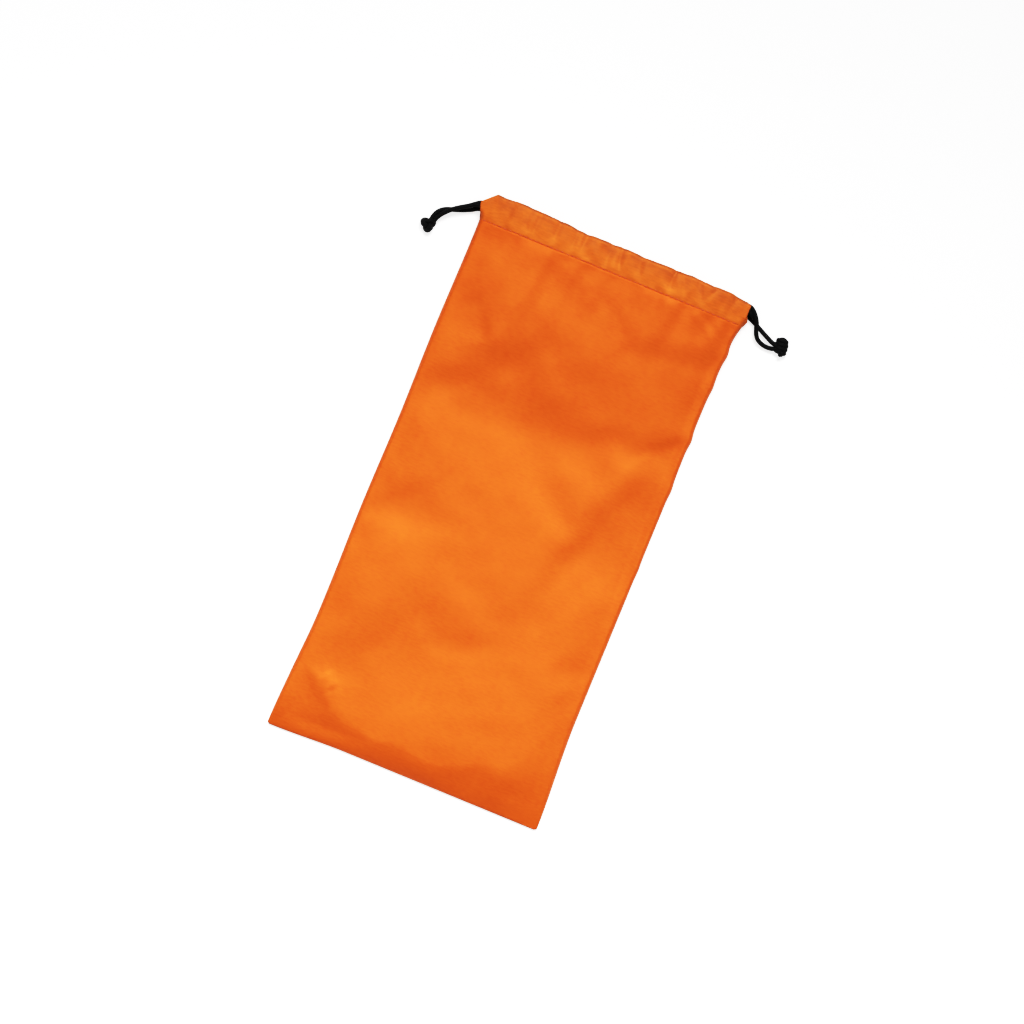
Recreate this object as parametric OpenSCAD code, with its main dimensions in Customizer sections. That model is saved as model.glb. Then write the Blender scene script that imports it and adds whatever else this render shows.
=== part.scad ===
// Drawstring stuff sack of thin woven nylon, lying empty and flat on its back panel.
// X runs across the sack, Y along it towards the mouth, Z up from the face it rests on.
// The origin is the middle of the resting face. Millimetres.

/* [Sack] */
// Width across the two side seams
sack_w = 175; // [120:1:260]
// Length from the bottom edge to the mouth edge
sack_len = 358; // [240:1:520]
// How far each bottom corner stands out past the side seam
corner_flare = 3; // [1:0.5:6]
// Length over which the sides flare out towards the bottom
flare_len = 75; // [40:5:110]
// Radius of the two bottom corners
corner_r = 3; // [1:0.5:8]
// Thickness of one ply of cloth with its coating
cloth_t = 0.4; // [0.3:0.05:0.6]
// Free height between the two channels at the mouth
mouth_gap = 6.4; // [6:0.2:10]
// Width over which the front panel rolls down to each side seam
side_roll = 26; // [20:1:40]
// Length over which the front panel rolls down to the bottom seam
bottom_roll = 40; // [30:1:60]

/* [Channel] */
// Height of the folded channel, from its stitching to the mouth edge
hem_h = 17; // [16:0.5:24]
// Height of the flat stitched lip at the foot of the channel
lip_h = 3; // [2:0.5:4]
// How far the open channel ends stand out past the side seams
hem_overhang = 3; // [2:0.5:4]
// Distance from one stitch of the channel to the next
stitch_pitch = 3.5; // [3:0.5:6]
// Thickness of the sewing thread
thread_d = 0.4; // [0.3:0.05:0.6]

/* [Cords] */
// Thickness of the round cord
cord_d = 2.7; // [2:0.1:3]
// Distance between the two cords inside a channel
cord_spacing = 5; // [4:0.5:6]
// Length of the free left strands, from the channel to the knot's middle
left_tail_len = 32; // [20:1:80]
// Direction of the left strands, anticlockwise from the right
left_tail_dir = 224; // [190:1:255]
// Length of the free right strands, from the channel to the knot's middle
right_tail_len = 28; // [20:1:80]
// Direction of the right strands, clockwise from the right
right_tail_dip = 30; // [0:1:70]
// Length of the cut cord ends beyond a knot
cord_end_len = 4; // [3:0.5:12]

/* [Seams] */
// Width of the seam allowance turned to the inside
allowance_w = 6; // [5:0.5:9]
// Distance from one overlock stitch to the next
overlock_pitch = 6; // [4:0.5:10]

/* [Hidden] */
$fn = 64;

cloth_colour = [0.93, 0.44, 0.13];
hem_colour = [0.86, 0.41, 0.15];
thread_colour = [0.80, 0.36, 0.12];
cord_colour = [0.08, 0.08, 0.09];

// outline of the sack, seen from above
half_w = sack_w / 2;
corner_x = half_w + corner_flare;
bottom_y = -sack_len / 2;
mouth_y = sack_len / 2;
hem_y = mouth_y - hem_h;
flare_y = bottom_y + flare_len;

// heights: back channel, gap, front channel
channel_play = 0.3;
hem_t = cord_d + channel_play + 2 * cloth_t;
top_z = 2 * hem_t + mouth_gap;
back_cord_z = hem_t / 2;
front_cord_z = top_z - hem_t / 2;

// cords: the left one runs below the right one along Y
cord_r = cord_d / 2;
channel_mid_y = hem_y + lip_h + (hem_h - lip_h) / 2;
left_cord_y = channel_mid_y - cord_spacing / 2;
right_cord_y = channel_mid_y + cord_spacing / 2;
hem_end_x = half_w + hem_overhang;
bight_r = (front_cord_z - back_cord_z) / 2;
bight_clear = 0.5;
bight_x = hem_end_x - bight_clear - cord_r - bight_r;
slot_len = hem_end_x - bight_x + bight_clear;
hinge_out = 2;
hinge_x = hem_end_x + hinge_out;
hinge_gap = 0.1;

// knots: two turns of cord round the two strands, lying on the resting face
wrap_r = 1.05 * cord_d;
wrap_pitch = 0.9 * cord_d;
knot_r = wrap_r + cord_r;
knot_half = 1.3 * cord_d;
knot_z = knot_r;
strand_gap = 0.1;
strand_y = cord_r + strand_gap / 2;

// seams: two plies lying on the back panel, clear of the front one
allowance_t = 2 * cloth_t;
seam_clear = 0.2;
seam_end_clear = 1;
seam_top_y = hem_y - seam_end_clear;
seam_edge_x = half_w - cloth_t - seam_clear;
bottom_seam_clear = 2.5;
bottom_seam_y = bottom_y + bottom_seam_clear;
bottom_seam_half = half_w - side_roll / 2;
side_seam_y = bottom_seam_y + allowance_w + seam_clear;
overlock_w = allowance_w - 1;
overlock_z = cloth_t + allowance_t + thread_d / 4;
stitch_len = 0.75 * stitch_pitch;
bartack_w = 1.4;
bartack_h = 3.4;

// how far a cut runs past the face it opens, and a size beyond the whole sack
cut_past = 1;
big = 2 * sack_len;

// one side of the outline up to the mouth edge `top`, drawn in by `inset`
function side_points(inset, top) =
    let (r = corner_r, cx = corner_x - inset - r, cy = bottom_y + inset + r)
    concat(
        [for (a = [-90:15:0]) [cx + r * cos(a), cy + r * sin(a)]],
        [[half_w - inset, flare_y], [half_w - inset, top]]
    );

function mirrored(points) =
    [for (i = [len(points) - 1:-1:0]) [-points[i][0], points[i][1]]];

module outline(inset, top) {
    right = side_points(inset, top);
    polygon(concat(right, mirrored(right)));
}

// section that is flat on top and rolls down to z = 0 within `roll` of each end
module rolled_section(half, roll, height, inset) {
    r = (roll * roll + height * height) / (2 * height);
    flat = half - roll;
    intersection() {
        translate([-half, 0])
            square([2 * half, height]);
        union() {
            for (s = [-1, 1])
                translate([s * flat, height - r])
                    circle(r - inset, $fn = 128);
            translate([-flat, -cut_past])
                square([2 * flat, height + cut_past - inset]);
        }
    }
}

// solid under the crown of the front panel, drawn in by `inset`
module crown(inset) {
    intersection() {
        linear_extrude(top_z)
            outline(inset, hem_y + (inset > 0 ? cut_past : 0));
        rotate([90, 0, 0])
            linear_extrude(big, center = true)
                rolled_section(corner_x, side_roll, top_z, inset);
        translate([0, mouth_y, 0])
            rotate([90, 0, 90])
                linear_extrude(big, center = true)
                    rolled_section(sack_len, bottom_roll, top_z, inset);
    }
}

module front_panel() {
    color(cloth_colour)
        difference() {
            crown(0);
            crown(cloth_t);
            translate([-big / 2, -big / 2, -cut_past])
                cube([big, big, cut_past + cloth_t]);
        }
}

module back_panel() {
    color(cloth_colour)
        linear_extrude(cloth_t)
            outline(0, hem_y);
}

// channel section: x is the height above the stitching, y the distance from the outer face
module channel_section() {
    r = hem_t / 2;
    difference() {
        union() {
            square([lip_h + r, 2 * cloth_t]);
            translate([lip_h + r, r])
                circle(r);
            translate([lip_h + r, 0])
                square([hem_h - lip_h - 2 * r, hem_t]);
            translate([hem_h - r, r])
                circle(r);
        }
        translate([lip_h + r, r])
            circle(r - cloth_t);
        translate([lip_h + r, cloth_t])
            square([hem_h - lip_h - 2 * r, hem_t - 2 * cloth_t]);
        translate([hem_h - r, r])
            circle(r - cloth_t);
    }
}

// channel with its outer face down; its inner wall stops short of both open ends,
// where a cord crosses from one channel to the other
module channel() {
    difference() {
        translate([0, hem_y, 0])
            rotate([90, 0, 90])
                linear_extrude(2 * hem_end_x, center = true)
                    channel_section();
        for (s = [-1, 1])
            translate([s * hem_end_x, mouth_y - hem_h / 2 + lip_h, hem_t])
                cube([2 * slot_len, hem_h, hem_t], center = true);
    }
}

// turns a shape from the back channel's place into the front channel's
module to_front() {
    translate([0, 0, top_z])
        mirror([0, 0, 1])
            children();
}

module back_hem() {
    color(hem_colour)
        channel();
}

module front_hem() {
    color(hem_colour)
        to_front()
            channel();
}

// row of stitches along X, each a short length of thread half sunk in the lip
module stitch_row(z) {
    count = floor((sack_w - 2 * stitch_pitch) / stitch_pitch);
    for (i = [0:count - 1])
        translate([(i - (count - 1) / 2) * stitch_pitch, hem_y + lip_h / 2, z])
            rotate([0, 90, 0])
                cylinder(h = stitch_len, d = thread_d, center = true, $fn = 16);
}

module front_hem_stitches() {
    color(thread_colour)
        stitch_row(top_z);
}

module back_hem_stitches() {
    color(thread_colour)
        stitch_row(2 * cloth_t);
}

module side_seam(side) {
    color(cloth_colour)
        translate([side < 0 ? -seam_edge_x : seam_edge_x - allowance_w, side_seam_y, cloth_t])
            cube([allowance_w, seam_top_y - side_seam_y, allowance_t]);
}

module bottom_seam() {
    color(cloth_colour)
        translate([-bottom_seam_half, bottom_seam_y, cloth_t])
            cube([2 * bottom_seam_half, allowance_w, allowance_t]);
}

// overlock: a bar of thread across a turned-in allowance
module thread_bar() {
    rotate([0, 90, 0])
        cylinder(h = overlock_w, d = thread_d, center = true, $fn = 16);
}

module side_seam_thread(side) {
    first = bottom_seam_y + allowance_w + overlock_pitch;
    color(thread_colour)
        for (y = [first:overlock_pitch:seam_top_y - overlock_pitch / 2])
            translate([side * (seam_edge_x - allowance_w / 2), y, overlock_z])
                thread_bar();
}

module bottom_seam_thread() {
    last = bottom_seam_half - overlock_pitch / 2;
    color(thread_colour)
        for (x = [-last:overlock_pitch:last])
            translate([x, bottom_seam_y + allowance_w / 2, overlock_z])
                rotate([0, 0, 90])
                    thread_bar();
}

// dense stitching that binds front and back at the foot of a side slit
module bartack(side) {
    color(thread_colour)
        translate([side * (half_w - bartack_w) - bartack_w / 2, hem_y, 2 * cloth_t])
            cube([bartack_w, lip_h, bartack_h]);
}

// loop through both channels: it turns at the end away from its open side
module cord_loop(side, y) {
    strand_end = hinge_x - cord_r - hinge_gap;
    color(cord_colour)
        translate([0, y, 0])
            mirror([side < 0 ? 0 : 1, 0, 0]) {
                for (z = [back_cord_z, front_cord_z])
                    translate([-strand_end, 0, z])
                        rotate([0, 90, 0])
                            cylinder(h = strand_end + bight_x, r = cord_r);
                translate([bight_x, 0, (back_cord_z + front_cord_z) / 2])
                    rotate([90, 0, 0])
                        rotate([0, 0, -90])
                            rotate_extrude(angle = 180)
                                translate([bight_r, 0])
                                    circle(cord_r);
            }
}

// straight round strand between two points, with round ends
module strand(from, to) {
    d = to - from;
    length = norm(d);
    translate(from)
        sphere(cord_r);
    translate(from)
        rotate([0, acos(d[2] / length), atan2(d[1], d[0])])
            cylinder(h = length, r = cord_r);
}

// places a shape, drawn along +X from the hinge, at one cord's free side
module at_tail(side, y, direction) {
    translate([side * hinge_x, y, 0])
        rotate([0, 0, direction])
            children();
}

// the two free strands, from above one another to side by side at the knot
module tail(length) {
    stop = length - knot_half;
    strand([0, 0, back_cord_z], [stop, -strand_y, knot_z]);
    strand([0, 0, front_cord_z], [stop, strand_y, knot_z]);
}

// knot as a body of revolution about the strands: two turns of cord
module knot(length) {
    translate([length, 0, knot_z])
        rotate([0, 90, 0])
            rotate_extrude() {
                translate([0, -knot_half + cord_r / 2])
                    square([wrap_r, 2 * knot_half - cord_r]);
                for (s = [-1, 1])
                    translate([wrap_r, s * wrap_pitch / 2])
                        circle(cord_r);
            }
}

// the two cut and sealed ends beyond the knot
module cord_ends(length) {
    for (s = [-1, 1])
        translate([length + knot_half - cord_r / 2, s * strand_y, knot_z])
            rotate([0, 90, 0])
                cylinder(h = cord_end_len, r = cord_r);
}

module left_cord() { cord_loop(-1, left_cord_y); }
module right_cord() { cord_loop(1, right_cord_y); }

module left_cord_tail() {
    color(cord_colour)
        at_tail(-1, left_cord_y, left_tail_dir)
            tail(left_tail_len);
}

module right_cord_tail() {
    color(cord_colour)
        at_tail(1, right_cord_y, -right_tail_dip)
            tail(right_tail_len);
}

module left_knot() {
    color(cord_colour)
        at_tail(-1, left_cord_y, left_tail_dir)
            knot(left_tail_len);
}

module right_knot() {
    color(cord_colour)
        at_tail(1, right_cord_y, -right_tail_dip)
            knot(right_tail_len);
}

module left_cord_ends() {
    color(cord_colour)
        at_tail(-1, left_cord_y, left_tail_dir)
            cord_ends(left_tail_len);
}

module right_cord_ends() {
    color(cord_colour)
        at_tail(1, right_cord_y, -right_tail_dip)
            cord_ends(right_tail_len);
}

front_panel();
back_panel();
front_hem();
back_hem();
front_hem_stitches();
back_hem_stitches();
side_seam(-1);  // left_side_seam
side_seam(1);  // right_side_seam
bottom_seam();
side_seam_thread(-1);  // left_seam_thread
side_seam_thread(1);  // right_seam_thread
bottom_seam_thread();
bartack(-1);  // left_bartack
bartack(1);  // right_bartack
left_cord();
left_cord_tail();
left_knot();
left_cord_ends();
right_cord();
right_cord_tail();
right_knot();
right_cord_ends();
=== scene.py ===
"""Looks of the stuff sack: cloth, channels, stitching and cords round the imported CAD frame.

Shapes are worked out in millimetres, in the frame's own axes, and become metres when a mesh is
made. X runs across the sack, Y towards the mouth, Z up. `b` is the distance from the bottom edge.
"""
import math

import bpy
import numpy as np
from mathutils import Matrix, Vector


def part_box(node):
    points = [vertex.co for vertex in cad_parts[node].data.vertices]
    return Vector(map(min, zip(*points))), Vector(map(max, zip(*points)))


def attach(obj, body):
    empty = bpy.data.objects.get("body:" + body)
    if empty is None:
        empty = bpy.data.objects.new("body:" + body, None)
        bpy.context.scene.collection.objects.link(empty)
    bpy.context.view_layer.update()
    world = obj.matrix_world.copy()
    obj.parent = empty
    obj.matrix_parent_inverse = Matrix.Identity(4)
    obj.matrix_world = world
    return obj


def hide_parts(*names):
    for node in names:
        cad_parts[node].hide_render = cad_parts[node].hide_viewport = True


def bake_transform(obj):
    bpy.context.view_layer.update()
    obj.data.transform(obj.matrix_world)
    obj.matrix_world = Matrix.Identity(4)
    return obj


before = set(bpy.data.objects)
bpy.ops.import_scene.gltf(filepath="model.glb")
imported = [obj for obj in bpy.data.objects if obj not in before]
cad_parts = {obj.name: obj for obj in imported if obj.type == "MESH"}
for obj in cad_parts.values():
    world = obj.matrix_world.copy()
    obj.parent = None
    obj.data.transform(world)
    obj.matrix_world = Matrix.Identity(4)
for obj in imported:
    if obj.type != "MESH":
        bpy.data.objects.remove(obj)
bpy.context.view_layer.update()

MM = 0.001


# ---------------------------------------------------------------- sizes from the frame

def box_mm(node):
    lo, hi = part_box(node)
    return np.array(lo) / MM, np.array(hi) / MM


PANEL_LO, PANEL_HI = box_mm("back_panel")
HEM_LO, HEM_HI = box_mm("front_hem")
BACK_HEM_HI = box_mm("back_hem")[1]
LEFT_CORD_LO, LEFT_CORD_HI = box_mm("left_cord")
SEAM_INSET = 0.6        # from the outer face of a side seam to its turned-in allowance
HALF_W = SEAM_INSET - box_mm("left_side_seam")[0][0]
FLARE = PANEL_HI[0] - HALF_W
BOTTOM_Y = PANEL_LO[1]
STITCH_B = HEM_LO[1] - BOTTOM_Y
MOUTH_B = HEM_HI[1] - BOTTOM_Y
HEM_H = MOUTH_B - STITCH_B
TOP_Z = HEM_HI[2]
HEM_T = BACK_HEM_HI[2]
CORD_R = (LEFT_CORD_HI[1] - LEFT_CORD_LO[1]) / 2
FRONT_CORD_Z = LEFT_CORD_HI[2] - CORD_R
BACK_CORD_Z = LEFT_CORD_LO[2] + CORD_R

CLOTH_T = 0.3           # thickness of the panels' cloth
SEAM_Z = 2.0            # height of the side seams
BOTTOM_SEAM_Z = 1.3     # height of the bottom seam
SEAM_RISE = 12          # length over which the bottom seam's height changes to the side seams'
HEM_DROOP = 3.4         # how far the front channel sinks at its ends


# ---------------------------------------------------------------- small curves and fields

def smooth(t):
    t = np.clip(t, 0, 1)
    return t * t * (3 - 2 * t)


def quarter_round(t):
    """Rises from 0 to 1 as a quarter of a circle."""
    return np.sqrt(np.clip(1 - (1 - np.clip(t, 0, 1)) ** 2, 0, 1))


def spline(knots, values, t):
    """Cubic curve through the given values, level beyond the first and last."""
    knots, values = np.array(knots, float), np.array(values, float)
    slope = np.gradient(values, knots)
    slope[0] = slope[-1] = 0
    t = np.clip(t, knots[0], knots[-1])
    i = np.clip(np.searchsorted(knots, t) - 1, 0, len(knots) - 2)
    h = knots[i + 1] - knots[i]
    s = (t - knots[i]) / h
    return (values[i] * (1 + 2 * s) * (1 - s) ** 2 + slope[i] * h * s * (1 - s) ** 2
            + values[i + 1] * s * s * (3 - 2 * s) + slope[i + 1] * h * s * s * (s - 1))


RIPPLE_WAVES = 14


def ripple(x, b, wavelength, seed, along=1.0):
    """Random smooth waves of about unit height; `along` above 1 draws them out across the sack."""
    rng = np.random.default_rng(seed)
    total = np.zeros(np.broadcast(x, b).shape)
    for _ in range(RIPPLE_WAVES):
        turn, phase = rng.uniform(0, 2 * math.pi, 2)
        k = 2 * math.pi / (wavelength * rng.uniform(0.65, 1.6))
        total += np.sin(k * (math.cos(turn) * x / along + math.sin(turn) * b) + phase)
    return total / math.sqrt(RIPPLE_WAVES / 2)


def arc_points(start, middle, end, count=16):
    """Points of the smooth curve through three given ones."""
    t = np.linspace(0, 1, count)[:, None]
    start, middle, end = map(np.array, (start, middle, end))
    control = 2 * middle - (start + end) / 2
    return (1 - t) ** 2 * start + 2 * t * (1 - t) * control + t * t * end


END_DEPTH = 0.35        # share of a dent's depth that is left at its two ends
END_EASE = 0.3          # share of its length over which it reaches its full depth
STEEP_WALL, GENTLE_WALL = 2.6, 2.0


def fold(x, b, start, middle, end, depths, steep, gentle):
    """One dent along a curve: its wall is steep on the left of the direction of travel.

    `depths` are the depths at its start and at its end. `steep` and `gentle` are the widths of its
    two walls. The gentle side keeps its depth towards the ends, so that no end wall shows there."""
    path = arc_points(start, middle, end)
    p = np.stack(np.broadcast_arrays(x, b), -1).astype(float)
    nearest = np.full(p.shape[:-1], np.inf)
    left, over, place_on = (np.zeros(p.shape[:-1]) for _ in range(3))
    last = len(path) - 2
    for k, (a, c) in enumerate(zip(path[:-1], path[1:])):
        length = np.linalg.norm(c - a)
        way = (c - a) / length
        along = (p - a) @ way
        past = along - np.clip(along, 0, length)
        side = (p - a) @ np.array([-way[1], way[0]])
        far = side ** 2 + past ** 2
        better = far < nearest
        nearest = np.where(better, far, nearest)
        left = np.where(better, side, left)
        over = np.where(better, past * (k in (0, last)), over)
        place_on = np.where(better, (k + np.clip(along / length, 0, 1)) / (last + 1), place_on)
    width = np.where(left > 0, steep, gentle)
    depth = depths[0] + (depths[1] - depths[0]) * place_on
    fade = END_DEPTH + (1 - END_DEPTH) * smooth(np.minimum(place_on, 1 - place_on) / END_EASE)
    away = smooth(-left / gentle)
    fade = fade + (1 - fade) * 0.9 * away
    reach = steep + (gentle - steep) * away
    wall = np.where(left > 0, STEEP_WALL, GENTLE_WALL)
    return -depth * fade * np.exp(-np.abs(left / width) ** wall - (over / reach) ** 2)


# ---------------------------------------------------------------- outline of the sack

# puckers of the right seam: distance from the bottom, size
EDGE_PUCKERS = [(321, 1.0), (299, 0.6), (263, 0.9), (230, 0.6), (176, 0.3)]
PUCKER_LEN = 5
FLARE_LEN = 75          # length of the foot over which the sack widens to its bottom edge
CORNER_R = 1.6
MOUTH_SPREAD, MOUTH_SPREAD_LEN = 2.4, 16
WAIST, WAIST_B, WAIST_LEN = 0.6, 276, 60    # the right seam is drawn in a little below the mouth


def half_width(b, side):
    """Distance from the middle line to a side seam; the right seam is puckered."""
    w = HALF_W + FLARE * smooth((FLARE_LEN - b) / FLARE_LEN)
    if side > 0:
        w = w - WAIST * smooth(1 - np.abs(b - WAIST_B) / WAIST_LEN)
        for at, size in EDGE_PUCKERS:
            w = w + size * np.exp(-((b - at) / PUCKER_LEN) ** 2)
        w = w + MOUTH_SPREAD * np.clip((b - STITCH_B + MOUTH_SPREAD_LEN) / MOUTH_SPREAD_LEN, 0, 1) ** 2
    else:
        w = w + 0.3 * np.sin(b / 19) * smooth((b - 20) / 40)
    return w - CORNER_R * (1 - quarter_round(b / CORNER_R))


def from_seam(x, b):
    """Distance inwards from the nearer side seam."""
    return np.where(x < 0, half_width(b, -1) + x, half_width(b, 1) - x)


def bottom_shift(x):
    """How far the bottom edge is raised: its left end is the lowest."""
    return 1.6 * smooth((x + 88) / 50)


# ---------------------------------------------------------------- height of the front cloth

# dents of the front panel: start, middle, end, two depths, steep side, gentle side
DENTS = [
    ((-86, 214), (-46, 245), (-12, 274), (2.6, 5.3), 18.5, 75),
    ((-42, 218), (8, 226), (60, 231), (1.2, 1.6), 20, 75),
    ((28, 296), (62, 300), (98, 308), (1.3, 2.2), 12, 50),
    ((64, 243), (75, 252), (90, 263), (0.7, 0.9), 4.5, 10),
    ((42, 131), (60, 185), (83, 239), (1.9, 2.6), 13, 50),
    ((-70, 23), (-35, 70), (-3, 116), (4.8, 1.9), 23, 40),
    ((-74, 297), (-66, 284), (-56, 268), (0.6, 1.6), 7, 18),
    ((-84, 142), (-64, 158), (-40, 182), (0.6, 0.8), 9, 18),
    ((-4, 324), (12, 313), (27, 302), (1.1, 0.8), 8, 20),
    ((-42, 326), (-28, 322), (-14, 321), (0.7, 0.6), 8, 14),
    ((-84, 40), (-73, 27), (-56, 16), (0.8, 0.8), 6, 24),
]
# narrow pleats that stand up: start, middle, end, two heights, left side, right side
PLEATS = [
    ((56, 341), (67, 333), (83, 321), (0.4, 0.5), 2.2, 3.2),
    ((67, 342), (76, 336), (88, 328), (0.35, 0.4), 1.8, 2.6),
    ((-49, 258), (-49, 285), (-47, 314), (0.9, 1.2), 8, 9),
    ((-70, 43), (-65, 39), (-60, 34), (1.0, 1.0), 5, 7),
    ((-24, 340), (-24, 322), (-22, 300), (0.5, 0.3), 6, 6),
    ((46, 340), (43, 322), (38, 306), (0.5, 0.3), 6, 6),
]
# uneven surface between the dents: height, wavelength, seed, how far drawn out across the sack
UNEVENNESS = [(0.18, 52, 3, 1.0), (0.04, 17, 8, 1.4), (0.008, 6.5, 21, 1.8)]
STREAKS, STREAK_LEN = 0.2, 62       # fine folds that run down from the channel's stitching
PUCKERS, PUCKER_REACH = 0.2, 9      # and short ones on both sides of it
STITCH_GROOVE, GROOVE_WIDTH = 0.06, 0.6
HEM_PLY = 0.12          # what the channel's second ply adds
# creases across the channel: place along X, slant, width, depth
HEM_CREASES = [
    (-71, 1.0, 2.0, 0.35), (-59, -1.6, 1.8, 0.5), (-52.5, 1.2, 1.5, 0.45), (-39, 0.2, 2.2, 0.7),
    (-27, -0.8, 2.4, 0.7), (-21, 1.5, 2.0, 0.8), (-4, 0.3, 3.0, 1.0), (3.5, -3.0, 1.6, 0.8),
    (17, -5.0, 2.4, 0.6), (38.5, 0.6, 1.5, 0.9), (46, -6.0, 1.8, 0.5), (57.5, -8.0, 1.5, 0.5),
    (64, 8.0, 1.5, 0.4), (79, 3.0, 2.4, 0.4),
]


def hem_drop(x):
    """How far the front channel sinks towards its open ends."""
    return HEM_DROOP * smooth((np.abs(x) - 60) / 30)


def hem_creases(x, h):
    """Sharp creases that run from the mouth edge towards the stitching, at height h above it."""
    z = np.zeros(np.broadcast(x, h).shape)
    rise = h / HEM_H
    for at, slant, width, depth in HEM_CREASES:
        d = x - at - slant * (rise - 0.6)
        wide = width * (0.85 + 0.65 * rise)
        z -= depth * np.exp(-np.abs(d / wide) ** 1.5) * smooth(rise / 0.55) * (0.35 + 0.65 * rise)
    return z


# height of the panel's middle line at distances from the bottom edge
CROWN_B = [0, 30, 72, 130, 200, 236, 300, STITCH_B, MOUTH_B]
CROWN_Z = [9.4, 10.3, 10.5, 10.1, 10.7, 11.5, 12.8, TOP_Z - 0.2, TOP_Z + 0.1]
SHOULDER = 2.4          # width over which the cloth turns up from a seam
SHOULDER_SHARE = 0.60   # share of the height that it reaches there, and what the mouth adds to it
MOUTH_SHARE = 0.25
ROLL, ROLL_POWER = 40, 2.4      # width over which the rest of the height builds up
FOOT_LEN = 17           # length over which the foot rises, and what its two corners add to it
FOOT_LEN_RIGHT, FOOT_LEN_LEFT = 36, 8
FOOT_EDGE = 0.06        # share of the height that the foot reaches at the bottom seam


def seam_height(b):
    return BOTTOM_SEAM_Z + (SEAM_Z - BOTTOM_SEAM_Z) * smooth(b / SEAM_RISE)


def to_right(x):
    """0 on the left and in the middle, 1 on the right."""
    return smooth((x - 20) / 50)


def rise_across(x, b):
    """Share of the height that the cloth has reached at its distance from a side seam."""
    inside = from_seam(x, b)
    edge = quarter_round(inside / SHOULDER)
    edge = edge + (1 - edge) * smooth((b - STITCH_B) / 6)
    roll = 1 - (1 - np.clip(inside / ROLL, 0, 1)) ** ROLL_POWER
    steep = SHOULDER_SHARE + MOUTH_SHARE * smooth((b - 285) / 50)
    return steep * edge + (1 - steep) * roll


def rise_from_foot(x, b):
    """Share of the height that the cloth has reached at its distance from the bottom seam."""
    length = (FOOT_LEN + FOOT_LEN_RIGHT * smooth((x - 12) / 88)
              + FOOT_LEN_LEFT * smooth((-36 - x) / 36) + 1.5 * ripple(x, 0 * b, 26, 13))
    slope = 1 - (1 - np.clip(b / length, 0, 1)) ** (2.0 - 0.15 * to_right(x))
    return FOOT_EDGE * quarter_round(b / SHOULDER) + (1 - FOOT_EDGE) * slope


def body_height(x, b):
    """The broad form of the filled-out panel, before its dents."""
    crown = spline(CROWN_B, CROWN_Z, b) - hem_drop(x) * smooth((b - 290) / 45)
    crown = crown + to_right(x) * smooth(1 - b / 120)
    seam = seam_height(b)
    return seam + (crown - seam) * rise_across(x, b) * rise_from_foot(x, b)


def front_height(x, b):
    """Outer face of the front cloth, panel and channel."""
    z = body_height(x, b)
    inside = np.minimum(HALF_W + 3 - np.abs(x), b)
    ease = smooth(inside / 12) * smooth((STITCH_B + 2 - b) / 10)
    dents = sum(fold(x, b, *d) for d in DENTS) - sum(fold(x, b, *p) for p in PLEATS)
    for size, wavelength, seed, drawn_out in UNEVENNESS:
        dents = dents + size * ripple(x, b, wavelength, seed, drawn_out)
    streaks = STREAKS * ripple(x, b / 7, 19, 5) * smooth((b - STITCH_B + STREAK_LEN) / 55)
    z = z + ease * dents + smooth(inside / 10) * smooth((STITCH_B + 1 - b) / 6) * streaks
    h = b - STITCH_B
    puckers = PUCKERS * ripple(x, 0 * b, 13, 11) * np.exp(-(h / PUCKER_REACH) ** 2)
    z = z + puckers * smooth(inside / 6)
    z = z - STITCH_GROOVE * np.exp(-((h - 0.2) / GROOVE_WIDTH) ** 2)
    creases = 1.35 * hem_creases(x, np.clip(h, 0, HEM_H))
    return z + smooth(h / 3.0) * (HEM_PLY + creases + 0.10 * ripple(x, b, 9, 31))


# ---------------------------------------------------------------- meshes

def make_mesh(name, points, faces, uv):
    """A smooth mesh object from points and UVs in millimetres."""
    mesh = bpy.data.meshes.new(name)
    mesh.from_pydata((points * MM).tolist(), [], faces)
    layer = mesh.uv_layers.new(name="cloth")
    index = np.zeros(len(mesh.loops), np.int32)
    mesh.loops.foreach_get("vertex_index", index)
    layer.data.foreach_set("uv", (uv * MM)[index].astype(np.float32).ravel())
    mesh.polygons.foreach_set("use_smooth", [True] * len(mesh.polygons))
    mesh.update()
    piece = bpy.data.objects.new(name, mesh)
    bpy.context.scene.collection.objects.link(piece)
    return piece


def grid_faces(rows, columns, closed=False):
    """Quads of a grid; a closed grid joins its last column to its first."""
    last = columns if closed else columns - 1
    return [(r * columns + c, r * columns + (c + 1) % columns,
             (r + 1) * columns + (c + 1) % columns, (r + 1) * columns + c)
            for r in range(rows - 1) for c in range(last)]


def closed_faces(rings, sides):
    """Faces of a tube with both of its ends closed."""
    return grid_faces(rings, sides, closed=True) + [
        tuple(range(sides - 1, -1, -1)), tuple(range((rings - 1) * sides, rings * sides))]


def grid_piece(name, grid, uv, closed=False):
    rows, columns = grid.shape[:2]
    return make_mesh(name, grid.reshape(-1, 3), grid_faces(rows, columns, closed),
                     uv.reshape(-1, 2))


def thicken(piece, thickness):
    """Gives a sheet its thickness, on the side away from its normals."""
    shell = piece.modifiers.new("cloth_thickness", "SOLIDIFY")
    shell.thickness = thickness * MM
    shell.offset = -1
    shell.use_even_offset = False


def join(name, parts):
    """One mesh from many (points, faces, uv) parts."""
    points, faces, uvs, first = [], [], [], 0
    for p, f, uv in parts:
        points.append(p)
        uvs.append(uv)
        faces += [tuple(i + first for i in face) for face in f]
        first += len(p)
    return make_mesh(name, np.concatenate(points), faces, np.concatenate(uvs))


def arc_lengths(path):
    """Distance along a path of each of its points."""
    return np.concatenate([[0], np.cumsum(np.linalg.norm(np.diff(path, axis=0), axis=1))])


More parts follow.
